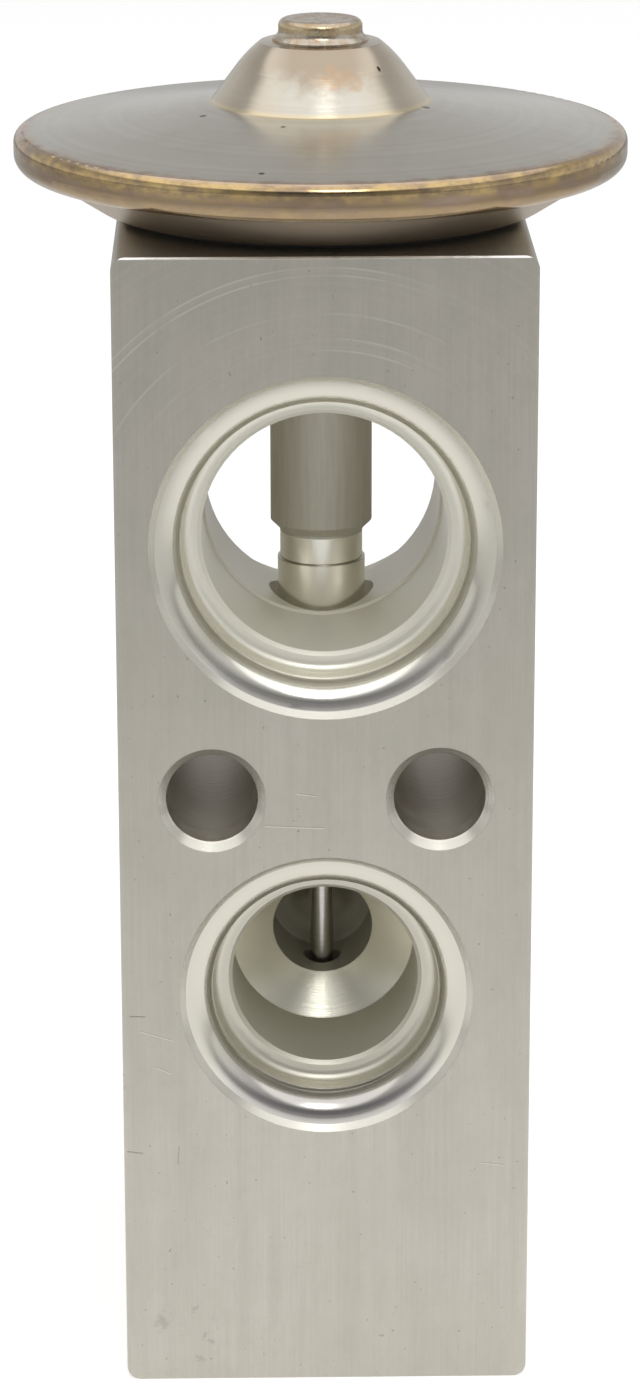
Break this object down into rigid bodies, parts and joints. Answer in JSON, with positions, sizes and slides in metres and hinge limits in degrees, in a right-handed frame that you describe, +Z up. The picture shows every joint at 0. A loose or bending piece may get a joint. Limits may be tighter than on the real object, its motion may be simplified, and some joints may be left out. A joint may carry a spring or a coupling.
{
  "type": "thermostatic expansion valve",
  "caption": "Drilled metal block with a round diaphragm head, a cross passage holding a sensing rod, stepped pipe ports and an adjusting screw in its foot.",
  "frame": {"origin": "centre of the block's flat foot, on the valve axis", "axes": "+Z up along the valve axis to the diaphragm head, -Y out of the front face with the outlet port, X across the block"},
  "size_m": [0.0478, 0.0478, 0.1063],
  "materials": {
    "block_aluminium": "drawn bar, milled and drilled, dulled",
    "head_steel": "pressed stainless sheet, heat-tinted at the weld",
    "plug_steel": "brazed, brown tint",
    "diaphragm_steel": "bright foil",
    "rod_aluminium": "turned, matt above, polished below",
    "pin_steel": "ground",
    "spring_steel": "drawn wire",
    "ball_steel": "polished",
    "screw_brass": "turned",
    "seal_rubber": "matt"
  },
  "bodies": {
    "housing": {"valve_block": "block_aluminium", "lower_cover": "head_steel", "upper_cover": "head_steel", "charge_plug": "plug_steel", "diaphragm": "diaphragm_steel", "head_gasket": "seal_rubber", "pin_seal": "seal_rubber", "seal_retainer": "spring_steel", "metering_spring": "spring_steel"},
    "stem": {"diaphragm_plate": "head_steel", "sensing_rod": "rod_aluminium", "push_pin": "pin_steel"},
    "ball": {"valve_ball": "ball_steel", "ball_carrier": "pin_steel", "damper_spring": "spring_steel"},
    "adjuster_ring": {"adjuster_seal": "seal_rubber"},
    "adjuster": {"adjusting_screw": "screw_brass"}
  },
  "joints": [
    {"name": "stem_slide", "type": "slide", "parent": "housing", "child": "stem", "axis": [0, 0, -1], "range_m": [0, 0.0008], "stiffness_N_per_m": 2000, "springref_m": -0.001, "deforming": ["diaphragm"]},
    {"name": "ball_slide", "type": "slide", "parent": "housing", "child": "ball", "axis": [0, 0, -1], "range_m": [0, 0.0008], "deforming": ["metering_spring"]},
    {"name": "adjuster_travel", "type": "slide", "parent": "housing", "child": "adjuster_ring", "axis": [0, 0, 1], "range_m": [-0.001, 0.001], "deforming": ["metering_spring"]},
    {"name": "adjuster_turn", "type": "hinge", "parent": "adjuster_ring", "child": "adjuster", "pos_m": [0, 0, 0.005], "axis": [0, 0, 1], "range_deg": [-360, 360]}
  ],
  "couplings": [
    {"joint": "ball_slide", "follows": "stem_slide", "ratio": 1},
    {"joint": "adjuster_turn", "follows": "adjuster_travel", "rad_per_m": 6283.2}
  ]
}
